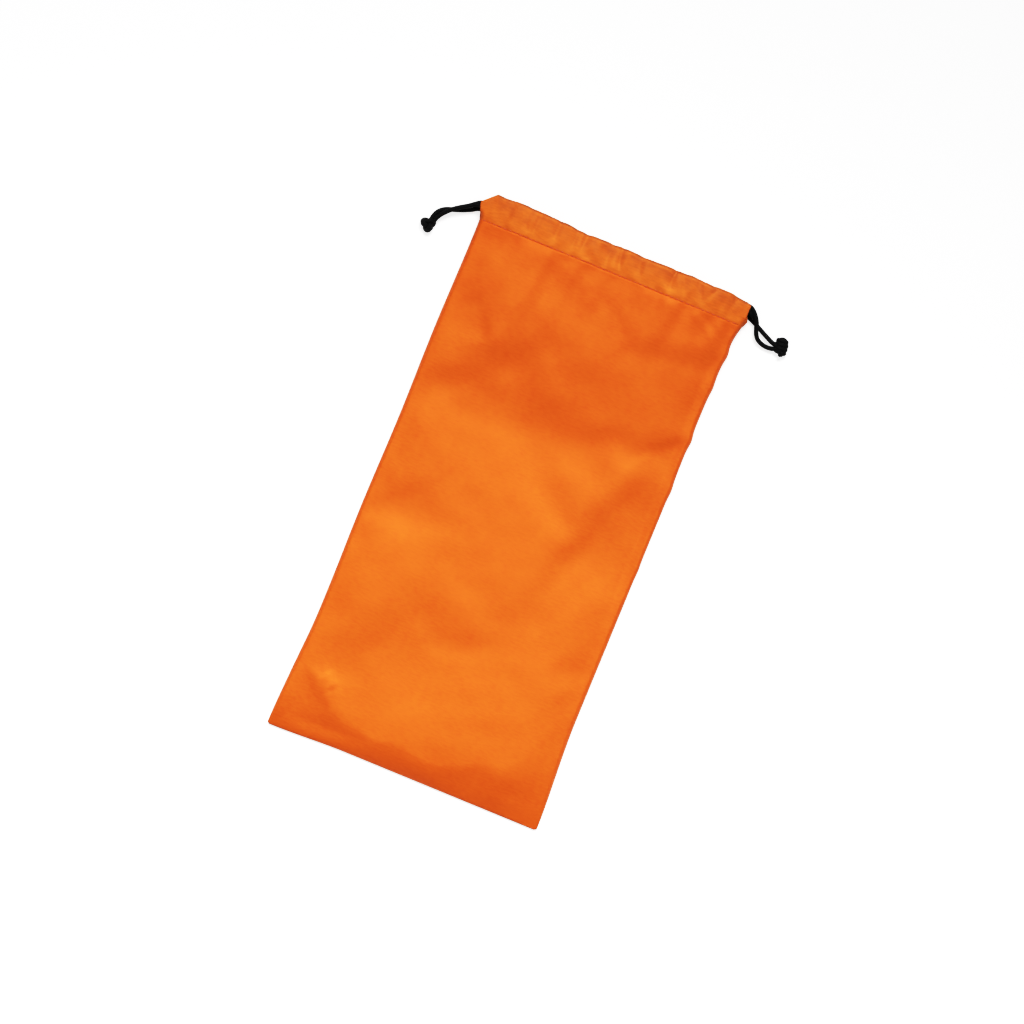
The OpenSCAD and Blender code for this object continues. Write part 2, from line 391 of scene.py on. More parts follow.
def resample(path, step):
    """Points at an even step along a smooth curve through the path's points."""
    path = np.array(path, float)
    t = arc_lengths(path)
    slope = np.gradient(path, t, axis=0)
    fine = np.linspace(0, t[-1], max(8, int(t[-1] * 6)))
    i = np.clip(np.searchsorted(t, fine) - 1, 0, len(t) - 2)
    h = (t[i + 1] - t[i])[:, None]
    s = (fine - t[i])[:, None] / h
    curve = (path[i] * (1 + 2 * s) * (1 - s) ** 2 + slope[i] * h * s * (1 - s) ** 2
             + path[i + 1] * s * s * (3 - 2 * s) + slope[i + 1] * h * s * s * (s - 1))
    arc = arc_lengths(curve)
    even = np.linspace(0, arc[-1], max(2, round(arc[-1] / step) + 1))
    return np.stack([np.interp(even, arc, curve[:, k]) for k in range(3)], 1)


def frames_along(path):
    """Two unit vectors across the path at each point, carried along without twist."""
    way = np.gradient(path, axis=0)
    way /= np.linalg.norm(way, axis=1)[:, None]
    across = np.cross(way[0], [0, 0, 1.0])
    if np.linalg.norm(across) < 1e-3:
        across = np.cross(way[0], [0, 1.0, 0])
    firsts = []
    for w in way:
        across = across - w * (across @ w)
        across /= np.linalg.norm(across)
        firsts.append(across)
    firsts = np.array(firsts)
    return firsts, np.cross(way, firsts)


BRAID_RIBS, BRAID_PITCH = 6, 2.6


def tube(path, radius, sides, braid=0.0):
    """(points, faces, uv) of a round-ended strand; `braid` is the depth of its plaited ribs."""
    one, two = frames_along(path)
    arc = arc_lengths(path)
    turn = np.linspace(0, 2 * math.pi, sides, endpoint=False)
    s, a = np.meshgrid(arc, turn, indexing="ij")
    r = np.full(s.shape, float(radius))
    if braid:
        lean = 2 * math.pi * s / BRAID_PITCH
        right = np.sin(BRAID_RIBS * a + lean)
        left = np.sin(BRAID_RIBS * a - lean)
        r += braid * (np.maximum(right, left) - 0.6)
    ends = np.clip(np.minimum(arc, arc[-1] - arc) / radius, 0.02, 1)
    r *= np.sqrt(ends * (2 - ends))[:, None]
    points = (path[:, None] + r[..., None] * (np.cos(a)[..., None] * one[:, None]
                                               + np.sin(a)[..., None] * two[:, None]))
    uv = np.stack([a * radius, s], -1)
    return points.reshape(-1, 3), closed_faces(len(path), sides), uv.reshape(-1, 2)


# ---------------------------------------------------------------- panels

PANEL_COLUMNS = 151
PANEL_ROWS = 281
LIP = 0.9               # width of cloth turned to the inside at a seam


def panel_columns():
    """Places across the sack from -1 to 1, closer together near the seams."""
    u = np.linspace(-1, 1, PANEL_COLUMNS)
    return 0.55 * u + 0.45 * np.sin(u * math.pi / 2)


def panel_rows():
    """Distances from the bottom edge, a little closer together near both ends."""
    t = np.linspace(0, 1, PANEL_ROWS)
    return STITCH_B * (0.75 * t + 0.25 * t ** 2 * (3 - 2 * t))


def panel_plan():
    """X and b of each point of a panel, between its two seams."""
    u, b = np.meshgrid(panel_columns(), panel_rows())
    x = np.where(u < 0, u * half_width(b, -1), u * half_width(b, 1))
    return x, b


def place(x, b, z):
    """Points in the frame, with the lower edge shifted to its slightly sloping line."""
    y = BOTTOM_Y + b + bottom_shift(x) * smooth((30 - b) / 30)
    return np.stack(np.broadcast_arrays(x, y, z), -1)


def turned_in(grid, drop):
    """Adds a narrow lip round the sides and the bottom, turned to the inside of the seam."""
    def inward(edge, shift):
        lip = edge + shift
        lip[..., 2] += drop
        return lip
    left = inward(grid[:, :1], [LIP, 0, 0])
    right = inward(grid[:, -1:], [-LIP, 0, 0])
    wide = np.concatenate([left, grid, right], axis=1)
    return np.concatenate([inward(wide[:1], [0, LIP, 0]), wide], axis=0)


SIM_SCALE = 10.0        # the sheet is simulated this much larger
SIM_FRAMES = 22
SIM_HOLD = 0.03         # how firmly points off the border are held to their places
SIM_GROWTH = 0.004      # share by which the cloth is larger than the shape it starts from
SIM_CAP = 0.6           # the most that a point may move, in mm
SIM_BORDER = 16         # rows of points over which the movement fades to none at the border
SIM_SMOOTHING = 4


def between(values):
    """Values of every second row, filled in by a cubic curve through its neighbours."""
    padded = np.concatenate([2 * values[:1] - values[1:2], values, 2 * values[-1:] - values[-2:-1]])
    middles = (9 * (padded[1:-2] + padded[2:-1]) - padded[:-3] - padded[3:]) / 16
    full = np.empty((2 * len(values) - 1,) + values.shape[1:])
    full[::2], full[1::2] = values, middles
    return full


def settled(grid):
    """The panel after a cloth simulation: slightly slack cloth, held round its border, finds its
    own unevenness near the shape it is given. It works on every second point."""
    coarse = grid[::2, ::2]
    rows, columns = coarse.shape[:2]
    sheet = grid_piece("settling_sheet", coarse * SIM_SCALE, coarse[..., :2])
    row, column = np.divmod(np.arange(rows * columns), columns)
    rim = np.minimum(np.minimum(row, rows - 1 - row), np.minimum(column, columns - 1 - column))
    held = sheet.vertex_groups.new(name="held")
    held.add(np.flatnonzero(rim < 2).tolist(), 1.0, "REPLACE")
    held.add(np.flatnonzero(rim >= 2).tolist(), SIM_HOLD, "REPLACE")
    cloth = sheet.modifiers.new("cloth", "CLOTH")
    setup = cloth.settings
    setup.quality = 6
    setup.mass = 0.2
    setup.tension_stiffness = setup.compression_stiffness = 25
    setup.shear_stiffness = 12
    setup.bending_stiffness = 4.0
    setup.vertex_group_mass = held.name
    setup.pin_stiffness = 1.0
    setup.shrink_min = -SIM_GROWTH
    setup.use_pressure = True
    setup.uniform_pressure_force = 0.1
    setup.effector_weights.gravity = 0
    cloth.collision_settings.use_collision = False
    scene = bpy.context.scene
    for frame_number in range(1, SIM_FRAMES + 1):
        scene.frame_set(frame_number)
    solved = sheet.evaluated_get(bpy.context.evaluated_depsgraph_get()).to_mesh()
    points = np.array([v.co for v in solved.vertices]) / (SIM_SCALE * MM)
    bpy.data.objects.remove(sheet)
    scene.frame_set(1)
    moved = points.reshape(coarse.shape) - coarse
    size = np.linalg.norm(moved, axis=-1, keepdims=True)
    moved = moved * SIM_CAP / np.maximum(size, SIM_CAP)
    moved = moved * smooth(rim.reshape(rows, columns, 1) / SIM_BORDER)
    for _ in range(SIM_SMOOTHING):
        moved[1:-1] = moved[1:-1] / 2 + (moved[:-2] + moved[2:]) / 4
        moved[:, 1:-1] = moved[:, 1:-1] / 2 + (moved[:, :-2] + moved[:, 2:]) / 4
    moved = between(moved)
    return grid + between(moved.transpose(1, 0, 2)).transpose(1, 0, 2)


def front_panel():
    """The cloth that faces up."""
    x, b = panel_plan()
    sheet = settled(place(x, b, front_height(x, b)))
    grid = turned_in(sheet, 0.25)
    uv = turned_in(place(x, b, 0 * x), 0)[..., :2]
    piece = grid_piece("front_panel_cloth", grid, uv)
    thicken(piece, CLOTH_T)
    return piece


def back_height(x, b):
    """Outer face of the back cloth: flat on the table, lifting to the seams."""
    inside = np.minimum(from_seam(x, b), b)
    seam = seam_height(b) - 0.5
    lift = (1 - np.clip(inside / 7, 0, 1)) ** 2
    lift = lift * (1 - 0.8 * smooth((b - STITCH_B + 25) / 25))
    return 0.12 + (seam - 0.12) * lift + 0.08 * (1 + ripple(x, b, 30, 41)) * smooth(inside / 8)


def back_panel():
    """The cloth that lies on the table."""
    x, b = panel_plan()
    x, b = x[::2, ::2], b[::2, ::2]
    grid = turned_in(place(x, b, back_height(x, b)), -0.05)
    uv = turned_in(place(x, b, 0 * x), 0)[..., :2]
    piece = grid_piece("back_panel_cloth", grid[:, ::-1], uv[:, ::-1])
    thicken(piece, CLOTH_T)
    return piece


# ---------------------------------------------------------------- channels

HEM_COLUMNS = 300
WALL = 0.24             # thickness of the channels' cloth
FOLD_R = 2.1            # radius of the fold at the mouth edge


def mouth_edge(x):
    """How far the mouth edge stands above its mean line."""
    edge = spline([-92, -82, -60, -38, -20, 0, 20, 40, 60, 76, 90],
                  [1.0, 1.4, 1.6, 0.9, -0.1, 0.3, -0.2, 0.2, 0.0, -0.4, -1.9], x)
    for at, _, width, depth in HEM_CREASES:
        edge = edge - 0.4 * depth * np.exp(-((x - at) / width) ** 2)
    return edge + 0.12 * ripple(x, 0 * x, 11, 61)


def channel_ends(h, back):
    """X of the left and right open end at a height above the stitching."""
    if back:
        left = -np.interp(h, [0, 5, 10, 18], [HALF_W - 0.5, 88.6, 88.8, 80.0])
        right = spline([0, 4.2, 7, 17.5], [HALF_W + 1.6, 91.6, 90.8, 88.0], h)
    else:
        left = -np.interp(h, [0, 4.8, 9.4, 10.0, 18.0], [HALF_W - 0.5, 88.8, 90.6, 90.4, 80.8])
        right = np.interp(h, [0, 4.2, 4.8, 5.4, 16, 17.5],
                          [HALF_W + 2.2, 91.7, 91.5, 89.8, 90.0, 89.2])
    return left, right


def channel_profile():
    """Round the flattened tube: height above the stitching and depth below the outer face."""
    fold_h = HEM_H - FOLD_R
    outer = [(h, 0.0) for h in np.concatenate([[0, 0.5, 1.0, 1.6], np.linspace(2.4, fold_h, 13)])]
    bend = [(fold_h + FOLD_R * math.sin(a), FOLD_R - FOLD_R * math.cos(a))
            for a in np.radians([22, 45, 67, 90, 113, 135, 158])]
    inner = [(h, 2 * FOLD_R) for h in np.linspace(fold_h, 5.2, 8)]
    lip = [(4.2, 3.4), (3.4, 1.9), (2.4, 0.75), (1.2, 0.55), (0.0, 0.5)]
    return np.array(outer + bend + inner + lip)


def channel(name, back):
    """One of the two cord channels, a flattened tube open at both ends."""
    profile = channel_profile()
    t = np.linspace(0, 1, HEM_COLUMNS)
    rows = []
    for h, depth in profile:
        left, right = channel_ends(h, back)
        x = left + (right - left) * t
        height = h * (1 + mouth_edge(x) / HEM_H * (0.6 if back else 1))
        b = STITCH_B + height
        if back:
            z = 0.15 + 0.1 * (1 + ripple(x, b, 12, 51)) + depth * (HEM_T + 0.1) / (2 * FOLD_R)
            z = z - 0.4 * hem_creases(-x, h) * (depth > 1)
        else:
            z = front_height(x, np.minimum(b, MOUTH_B + 2)) - depth
        rows.append(np.stack([x, BOTTOM_Y + b, z], -1))
    grid = np.array(rows).transpose(1, 0, 2)
    if not back:
        grid = grid[:, ::-1]
    arc = arc_lengths(profile)
    arc = arc if back else arc[::-1]
    uv = np.stack(np.broadcast_arrays(grid[..., 0], STITCH_B + BOTTOM_Y + arc[None]), -1)
    piece = grid_piece(name, grid, uv, closed=True)
    thicken(piece, WALL)
    return piece


# ---------------------------------------------------------------- sewing

STITCH_PITCH = 3.5
STITCH_SHOWN = 0.7      # share of the pitch that each stitch takes up
THREAD_R = 0.24
STITCH_RISE, STITCH_DIP = 0.12, 0.5     # height of a stitch's middle, and its drop to its ends
BACK_STITCH_Z = 0.95
ALLOWANCE = 0.9, 6.6    # how far a turned-in allowance starts and ends inside its seam
LOOP_PITCH = 2.4
LOOP_MIDDLE, LOOP_REACH, LOOP_HEIGHT = 3.4, 2.6, 0.62   # of the overlock, from the seam inwards
TACK_TURNS = 9


def stitch(x, y, z_at):
    """One lockstitch: a short thread that dips into the cloth at both ends."""
    t = np.linspace(-1, 1, 9)
    px = x + t * STITCH_SHOWN * STITCH_PITCH / 2
    z = z_at(px, np.full(9, y)) + STITCH_RISE - STITCH_DIP * np.abs(t) ** 4
    path = np.stack([px, np.full(9, y), z], 1)
    return tube(path, THREAD_R, 8)


def stitch_row(name, z_at):
    """The row that closes a channel, slightly uneven."""
    rng = np.random.default_rng(17)
    count = int((2 * HALF_W - STITCH_PITCH) / STITCH_PITCH)
    parts = []
    for i in range(count):
        x = (i - (count - 1) / 2) * STITCH_PITCH + rng.uniform(-0.15, 0.15)
        y = BOTTOM_Y + STITCH_B + 0.2 + rng.uniform(-0.12, 0.12)
        parts.append(stitch(x, y, z_at))
    return join(name, parts)


def overlock(name, along, edge, low, high, z_at):
    """Thread wound over a turned-in allowance, from its seam to its raw edge."""
    turns = int((high - low) / LOOP_PITCH)
    t = np.linspace(0, turns, turns * 10)
    s = low + (high - low) * t / turns
    across = edge + along["inward"] * (LOOP_MIDDLE - LOOP_REACH * np.cos(2 * math.pi * t))
    z = z_at(s) + LOOP_HEIGHT * np.sin(2 * math.pi * t)
    path = np.stack([across, s, z] if along["axis"] == "y" else [s, across, z], 1)
    return join(name, [tube(path, THREAD_R, 6)])


def allowance(name, along, edge, low, high, z_at):
    """Two plies of cloth turned to the inside of a seam."""
    s, a = np.meshgrid(np.linspace(low, high, 160), np.linspace(*ALLOWANCE, 6), indexing="ij")
    z = z_at(s) + 0.28 + 0.15 * ripple(s, a, 14, 71) * (a / ALLOWANCE[1])
    across = edge(s) + along["inward"] * a if callable(edge) else edge + along["inward"] * a
    grid = np.stack([across, s, z] if along["axis"] == "y" else [s, across, z], -1)
    flip = (along["inward"] > 0) == (along["axis"] == "y")
    uv = np.stack([s, a], -1)
    piece = grid_piece(name, grid if not flip else grid[:, ::-1], uv)
    thicken(piece, 2 * CLOTH_T - 0.04)
    return piece


def bartack(name):
    """Dense satin stitching over the foot of a side slit."""
    lo, hi = box_mm(name)
    middle, half = (lo + hi) / 2, (hi - lo) / 2
    t = np.linspace(0, 1, 260)
    x = middle[0] + half[0] * np.cos(2 * math.pi * TACK_TURNS * t) * 1.1
    z = middle[2] + half[2] * np.sin(2 * math.pi * TACK_TURNS * t)
    y = lo[1] + (hi[1] - lo[1]) * t
    core = resample([[middle[0], lo[1], middle[2]], [middle[0], hi[1], middle[2]]], 0.4)
    wrap = resample(np.stack([x, y, z], 1), 0.3)
    return join(name + "_thread", [tube(wrap, 0.22, 6), tube(core, half[0] * 0.9, 10)])


# ---------------------------------------------------------------- cords

CORD_SIDES = 20
CORD_STEP = 0.42
BRAID = 0.07            # depth of the braid's ribs
CORD_FUZZ = 0.08        # how much the fibres add to the free cord's radius
EXIT_X = 88.5           # where the loops end and the tails begin
LOW_Z = BACK_CORD_Z + 0.15      # height of a cord in the back channel
UNDER_CLOTH = 0.8       # from the outer face of the front channel to a cord that lies under it
CROSSING, CROSSING_LEN = 120, 50    # where a loop changes over to its far end's place
TURN_LEN = 5.5          # length of a loop's rounded end
WOUND_TURNS = 1.75      # turns of the wound knot on either side of its middle


def strand(path, radius=CORD_R):
    return tube(resample(path, CORD_STEP), radius, CORD_SIDES, BRAID)


def under_front(x, y):
    """Height of a cord that lies just under the cloth of the front channel."""
    room = front_height(np.array([x]), np.array([y - BOTTOM_Y]))[0] - CORD_R - UNDER_CLOTH
    return min(FRONT_CORD_Z - 0.3 - hem_drop(x), room)


def loop_path(side, y_front, y_back, y_far, y_tip, bight_x):
    """From its own exit through the front channel, round the far end and back behind.

    `side` is that of the exit, and `bight_x` is how far the loop reaches out of the other end."""
    exit_x = side * EXIT_X
    xs = np.linspace(exit_x, -side * (bight_x - TURN_LEN), 26)
    share = smooth((abs(xs - exit_x) - CROSSING) / CROSSING_LEN)
    front = [[x, y, under_front(x, y)] for x, y in zip(xs, y_front + (y_far - y_front) * share)]
    back = [[x, y, LOW_Z] for x, y in zip(xs, y_back + (y_far - y_back) * share)]
    top = front[-1][2]
    turn = []
    for a in np.radians([35, 70, 105, 140]):
        x = xs[-1] - side * (bight_x - CORD_R - abs(xs[-1])) * math.sin(a)
        z = top + (LOW_Z - top) * (1 - math.cos(a)) / 2
        turn.append([x, y_far + (y_tip - y_far) * math.sin(a), z])
    return front + turn + back[::-1]


def knot(name, centre, turn, size, lift):
    """Overhand knot tied in both strands together: two stacked, tight trefoil turns."""
    parts = []
    for scale, up, radius in ((1.0, 0.0, 1.42), (0.82, 1.9, 1.36)):
        t = np.linspace(0.2, 2 * math.pi + 0.15, 120)
        x = (np.sin(t) + 2 * np.sin(2 * t)) * size * scale
        y = (np.cos(t) - 2 * np.cos(2 * t)) * size * scale
        z = -np.sin(3 * t) * 1.15 + lift + up
        c, s = math.cos(turn), math.sin(turn)
        path = np.stack([centre[0] + c * x - s * y, centre[1] + s * x + c * y, z], 1)
        parts.append(strand(path[::5], radius))
    t = np.linspace(0, 3 * math.pi, 40)
    core = np.stack([centre[0] + 1.5 * np.cos(t), centre[1] + 1.5 * np.sin(t),
                     lift - 0.8 + 3.4 * t / t[-1]], 1)
    parts.append(strand(core))
    return join(name, parts)


def wound_knot(name, centre, turn, length, width, lift):
    """Overhand knot pulled into a dome: turns of the doubled cord sunk into each other."""
    c, k = math.cos(turn), math.sin(turn)

    def put(u, v, z):
        return np.stack([centre[0] + c * u - k * v, centre[1] + k * u + c * v, z + 0 * u], -1)

    def swell(u):
        return np.sqrt(np.clip(1 - np.abs((u + 0.8) / (length / 2 + 0.8)) ** 2.4, 0, 1))

    t = np.linspace(-1, 1, 160)
    a = WOUND_TURNS * 2 * math.pi * t
    u = t * (length / 2 - CORD_R) + 0.6 * np.cos(a)
    reach = (width / 2 - CORD_R - 0.1) * swell(t * (length / 2 - CORD_R))
    wrap = put(u, reach * np.cos(a), lift + 0.55 * reach * np.sin(a))
    rings, sides = 30, 28
    u, a = np.meshgrid(np.linspace(-length / 2, length / 2, rings),
                       np.linspace(0, 2 * math.pi, sides, endpoint=False), indexing="ij")
    blunt = np.sqrt(np.clip(1 - (2 * u / length) ** 6, 0.01, 1))
    reach = (width / 2 - 0.35) * np.minimum(swell(u), blunt)
    core = put(u, reach * np.cos(a), lift + 0.62 * reach * np.sin(a)).reshape(-1, 3)
    uv = np.stack([a * CORD_R, u], -1).reshape(-1, 2)
    return join(name, [strand(wrap[::3], CORD_R + 0.1), (core, closed_faces(rings, sides), uv)])


def cord_ends(name, centre, directions, length):
    """Two cut ends, sealed by melting."""
    parts = []
    for angle, z in directions:
        way = np.array([math.cos(angle), math.sin(angle), 0])
        base = np.array([centre[0], centre[1], z])
        path = np.array([base + way * d for d in np.linspace(1.0, length, 8)])
        parts.append(strand(path))
    return join(name, parts)


# ---------------------------------------------------------------- materials

THREAD_PITCH = 0.34 * MM
NYLON_LUSTRE = 0.32
# dark brown painted shade along the fold at the mouth edge
FOLD_SHADE_TONE = (0.20, 0.085, 0.035)
# painted shade along a fold: how far from the fold it reaches in mm, and its strength
FOLD_SHADE_BANDS = [(13.0, 0.5), (2.4, 0.7)]


def material(name, colour, roughness):
    """A new material, its node tree and its shader."""
    mat = bpy.data.materials.new(name)
    mat.use_nodes = True
    shader = mat.node_tree.nodes["Principled BSDF"]
    shader.inputs["Base Color"].default_value = (*colour, 1)
    shader.inputs["Roughness"].default_value = roughness
    return mat, mat.node_tree, shader


def math_node(tree, operation, a, b=None):
    node = tree.nodes.new("ShaderNodeMath")
    node.operation = operation
    for i, value in enumerate((a, b)):
        if value is None:
            continue
        if isinstance(value, (int, float)):
            node.inputs[i].default_value = value
        else:
            tree.links.new(value, node.inputs[i])
    return node.outputs[0]


def add(tree, a, b):
    return math_node(tree, "ADD", a, b)


def times(tree, a, b):
    return math_node(tree, "MULTIPLY", a, b)


def cloth_uv(tree):
    """The UV in metres, and its two parts."""
    uv = tree.nodes.new("ShaderNodeUVMap")
    uv.uv_map = "cloth"
    split = tree.nodes.new("ShaderNodeSeparateXYZ")
    tree.links.new(uv.outputs[0], split.inputs[0])
    return uv.outputs[0], split.outputs[0], split.outputs[1]


def noise(tree, vector, scale, detail):
    node = tree.nodes.new("ShaderNodeTexNoise")
    node.inputs["Scale"].default_value = scale
    node.inputs["Detail"].default_value = detail
    tree.links.new(vector, node.inputs["Vector"])
    return node.outputs["Fac"]


def scaled(tree, vector, x, y):
    node = tree.nodes.new("ShaderNodeVectorMath")
    node.operation = "MULTIPLY"
    node.inputs[1].default_value = (x, y, 1)
    tree.links.new(vector, node.inputs[0])
    return node.outputs[0]


def bump(tree, height, distance, strength, normal=None):
    node = tree.nodes.new("ShaderNodeBump")
    node.inputs["Distance"].default_value = distance
    node.inputs["Strength"].default_value = strength
    tree.links.new(height, node.inputs["Height"])
    if normal is not None:
        tree.links.new(normal, node.inputs["Normal"])
    return node.outputs["Normal"]


def painted_fold_shade(tree, tone, off):
    """Painted shade along a fold, stronger in some patches than others, where `off` is the distance
    from the fold.
    """
    near = None
    for reach, share in FOLD_SHADE_BANDS:
        part = math_node(tree, "SUBTRACT", 1.0, times(tree, off, 1 / (reach * MM)))
        part = times(tree, math_node(tree, "MAXIMUM", part, 0.0), share)
        near = part if near is None else add(tree, near, part)
    patchy = add(tree, times(tree, noise(tree, cloth_uv(tree)[0], 180, 3), 1.6), -0.3)
    shade_mix = tree.nodes.new("ShaderNodeMix")
    shade_mix.data_type = "RGBA"
    # a colour mix keeps its factor, two colours and result at these places
    factor, first, second, result = shade_mix.inputs[0], shade_mix.inputs[6], shade_mix.inputs[7], shade_mix.outputs[2]
    second.default_value = (*FOLD_SHADE_TONE, 1)
    tree.links.new(times(tree, near, patchy), factor)
    tree.links.new(tone, first)
    return result


def woven_cloth(name, colour, dark, contrast=1.0, lustre=NYLON_LUSTRE, shaded_fold_at=None):
    """Plain-weave nylon: threads over and under, short slubs along the weft, soft tone changes.

    `shaded_fold_at` is the V (mm) of a fold along whose edge shade is painted in patches."""
    mat, tree, shader = material(name, colour, 0.58)
    plane, across, along = cloth_uv(tree)
    k = math.pi / THREAD_PITCH
    over = times(tree, math_node(tree, "SINE", times(tree, across, k)),
                 math_node(tree, "SINE", times(tree, along, k)))
    slub = noise(tree, scaled(tree, plane, 0.3, 1.0), 800, 3)
    broad = noise(tree, plane, 60, 4)
    tone = add(tree, times(tree, slub, 0.72), times(tree, broad, 0.28))
    tone = add(tree, times(tree, over, 0.03), tone)
    ramp = tree.nodes.new("ShaderNodeValToRGB")
    low, high = ramp.color_ramp.elements
    low.position, low.color = 0.5 - 0.2 / contrast, (*dark, 1)
    high.position, high.color = 0.5 + 0.2 / contrast, (*colour, 1)
    tree.links.new(tone, ramp.inputs[0])
    shown = ramp.outputs["Color"]
    # painted shade along the fold at the mouth edge
    if shaded_fold_at is not None:
        off = math_node(tree, "ABSOLUTE", math_node(tree, "SUBTRACT", along, shaded_fold_at * MM))
        shown = painted_fold_shade(tree, shown, off)
    tree.links.new(shown, shader.inputs["Base Color"])
    tree.links.new(add(tree, times(tree, slub, 0.14), 0.50), shader.inputs["Roughness"])
    normal = bump(tree, over, 0.04 * MM, 0.3)
    normal = bump(tree, slub, 0.05 * MM, 0.5, normal)
    tree.links.new(normal, shader.inputs["Normal"])
    shader.inputs["Metallic"].default_value = lustre
    shader.inputs["Specular IOR Level"].default_value = 0.2
    shader.inputs["Sheen Weight"].default_value = 0.05
    shader.inputs["Sheen Roughness"].default_value = 0.4
    shader.inputs["Sheen Tint"].default_value = (1.0, 0.6, 0.3, 1)
    return mat


def twisted_thread(name, colour):
    """Sewing thread with its plies lying aslant."""
    mat, tree, shader = material(name, colour, 0.55)
    _, around, along = cloth_uv(tree)
    lean = add(tree, around, times(tree, along, 1.2))
    plies = math_node(tree, "SINE", times(tree, lean, 2 * math.pi / (0.5 * MM)))
    tree.links.new(bump(tree, plies, 0.06 * MM, 0.6), shader.inputs["Normal"])
    shader.inputs["Sheen Weight"].default_value = 0.2
    return mat


def braided_cord(name):
    """Matt black braid: the fibres cross finer than the ribs that the mesh has."""
    mat, tree, shader = material(name, (0.0035, 0.0035, 0.0040), 0.62)
    plane, around, along = cloth_uv(tree)
    a = times(tree, around, 24 / (CORD_R * MM))
    s = times(tree, along, 2 * math.pi / (0.65 * MM))
    one = math_node(tree, "SINE", add(tree, a, s))
    two = math_node(tree, "SINE", math_node(tree, "SUBTRACT", a, s))
    fibres = math_node(tree, "MAXIMUM", one, two)
    tree.links.new(bump(tree, fibres, 0.05 * MM, 0.5), shader.inputs["Normal"])
    fuzz = noise(tree, plane, 900, 2)
    tree.links.new(add(tree, times(tree, fuzz, 0.25), 0.5), shader.inputs["Roughness"])
    shader.inputs["Specular IOR Level"].default_value = 0.12
    shader.inputs["Sheen Weight"].default_value = 0.02
    return mat


# ---------------------------------------------------------------- putting it together

def finish_piece(piece, mat, node):
    """Gives a piece its material and slot, in place of the frame's node."""
    piece.data.materials.append(mat)
    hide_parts(node)
    return piece


def gather(piece):
    """Bakes the piece's placement into its mesh points."""
    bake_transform(piece)


CLOTH = woven_cloth("orange_nylon", (0.89, 0.195, 0.018), (0.80, 0.155, 0.012))
# the channel's cloth, with painted shade along the fold at its mouth edge
HEM = woven_cloth("orange_nylon_channel", (0.89, 0.218, 0.023), (0.73, 0.175, 0.017), 1.3, 0.3,
                  STITCH_B + BOTTOM_Y + HEM_H + 0.6)
SEAM = woven_cloth("orange_nylon_allowance", (0.66, 0.13, 0.014), (0.5, 0.10, 0.01))
THREAD = twisted_thread("orange_thread", (0.70, 0.145, 0.018))
CORD = braided_cord("black_braid")


def build_cloth():
    front = finish_piece(front_panel(), CLOTH, "front_panel")
    back = finish_piece(back_panel(), CLOTH, "back_panel")
    front_channel = finish_piece(channel("front_hem_cloth", False), HEM, "front_hem")
    back_channel = finish_piece(channel("back_hem_cloth", True), HEM, "back_hem")
    for piece in (front, back, front_channel, back_channel):
        gather(piece)


def build_sewing():
    row = stitch_row("front_hem_stitch_row", lambda x, y: front_height(x, y - BOTTOM_Y))
    gather(finish_piece(row, THREAD, "front_hem_stitches"))
    row = stitch_row("back_hem_stitch_row", lambda x, y: 0 * x + BACK_STITCH_Z)
    gather(finish_piece(row, THREAD, "back_hem_stitches"))
    for side, word in ((-1, "left"), (1, "right")):
        along = {"axis": "y", "inward": -side}
        low, high = BOTTOM_Y + 9, BOTTOM_Y + STITCH_B - 1

        def edge(y, side=side):
            return side * half_width(y - BOTTOM_Y, side)

        strip = allowance(word + "_seam_allowance", along, edge, low, high, lambda s: 0 * s + SEAM_Z)
        gather(finish_piece(strip, SEAM, word + "_side_seam"))
        wound = overlock(word + "_overlock", along, side * (HALF_W - 0.4), low + 2, high - 2,
                         lambda s: 0 * s + SEAM_Z)
        gather(finish_piece(wound, THREAD, word + "_seam_thread"))
        tack = finish_piece(bartack(word + "_bartack"), THREAD, word + "_bartack")
        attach(tack, word + "_mouth_end")
    along = {"axis": "x", "inward": 1}
    half = HALF_W - 11
    strip = allowance("bottom_seam_allowance", along, BOTTOM_Y + 2.2, -half, half,
                      lambda s: 0 * s + BOTTOM_SEAM_Z)
    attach(finish_piece(strip, SEAM, "bottom_seam"), "sack")
    wound = overlock("bottom_overlock", along, BOTTOM_Y + 2.4, -half + 2, half - 2,
                     lambda s: 0 * s + BOTTOM_SEAM_Z)
    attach(finish_piece(wound, THREAD, "bottom_seam_thread"), "sack")


def build_cord(word, side, ys, bight_x, front_tail, back_tail):
    """One cord: its loop in the channels and its two free strands.

    `ys` are the loop's Y at the front and back of its exit, at the far end and at the bight's tip.
    A height of 0 in `front_tail` stands for just under the front channel's cloth."""
    cord = join(word + "_cord_braid", [strand(loop_path(side, *ys, bight_x), CORD_R + CORD_FUZZ)])
    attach(finish_piece(cord, CORD, word + "_cord"), word + "_drawcord")
    front_tail = [[x, y, z or under_front(x, y)] for x, y, z in front_tail]
    parts = [strand(path, CORD_R + CORD_FUZZ) for path in (front_tail, back_tail)]
    tails = finish_piece(join(word + "_tail_braid", parts), CORD, word + "_cord_tail")
    way = np.array(front_tail[2]) - np.array(front_tail[0])
    way[2] = 0
    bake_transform(tails)


